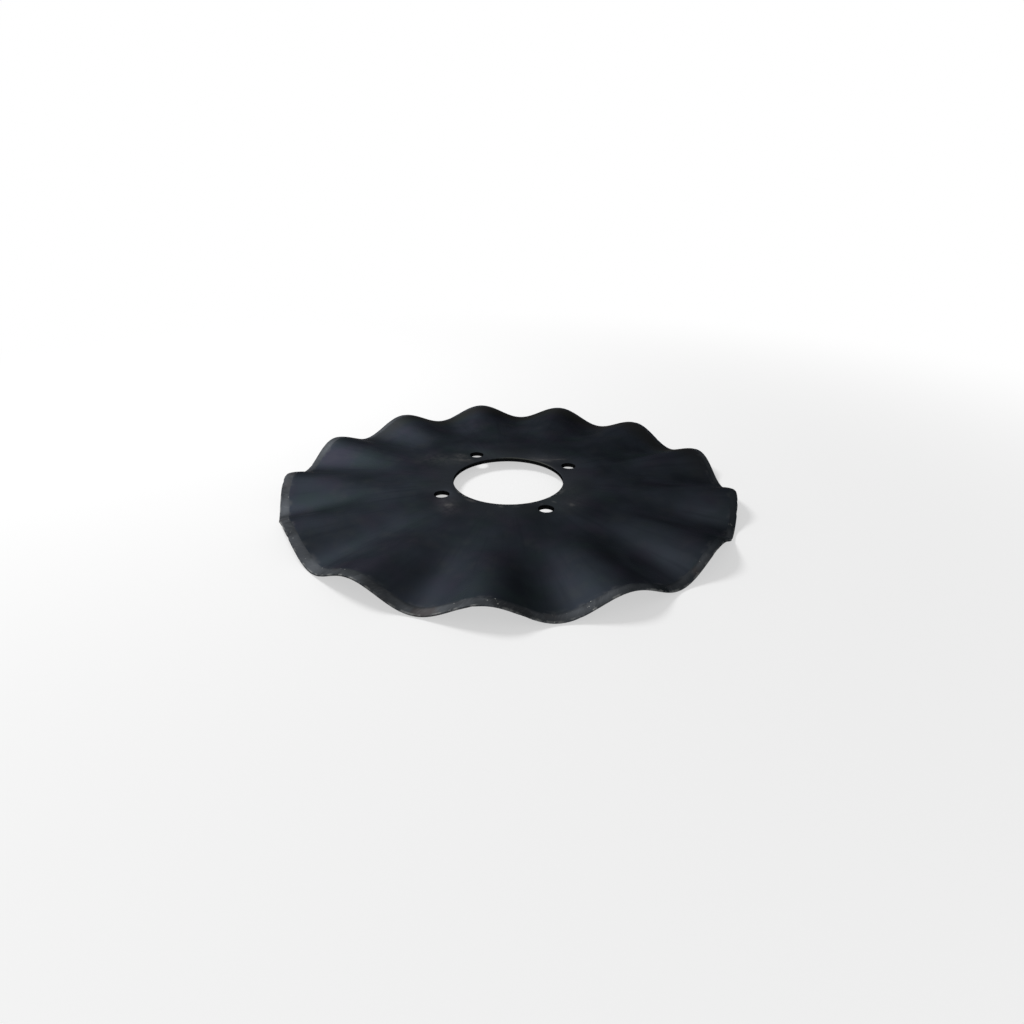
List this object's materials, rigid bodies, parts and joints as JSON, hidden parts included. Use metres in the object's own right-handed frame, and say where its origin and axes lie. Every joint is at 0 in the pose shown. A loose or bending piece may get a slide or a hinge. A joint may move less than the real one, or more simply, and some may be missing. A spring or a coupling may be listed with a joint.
{
  "type": "seed drill disc",
  "caption": "Round wavy coulter disc with a flat hub, a central bore, a bolt circle and a ground cutting edge, for opening a seed slot in soil.",
  "frame": {"origin": "middle of the bore, at half the plate's thickness", "axes": "the disc lies flat with its axis along +Z; +X runs through the first bolt hole"},
  "size_m": [0.406, 0.406, 0.0182],
  "materials": {
    "disc_steel": "blackened steel with a thin black coat: dull satin with a blue cast; the cutting edge is ground, greyer and duller"
  },
  "bodies": {
    "root": {"coulter_disc": "disc_steel"}
  },
  "joints": []
}
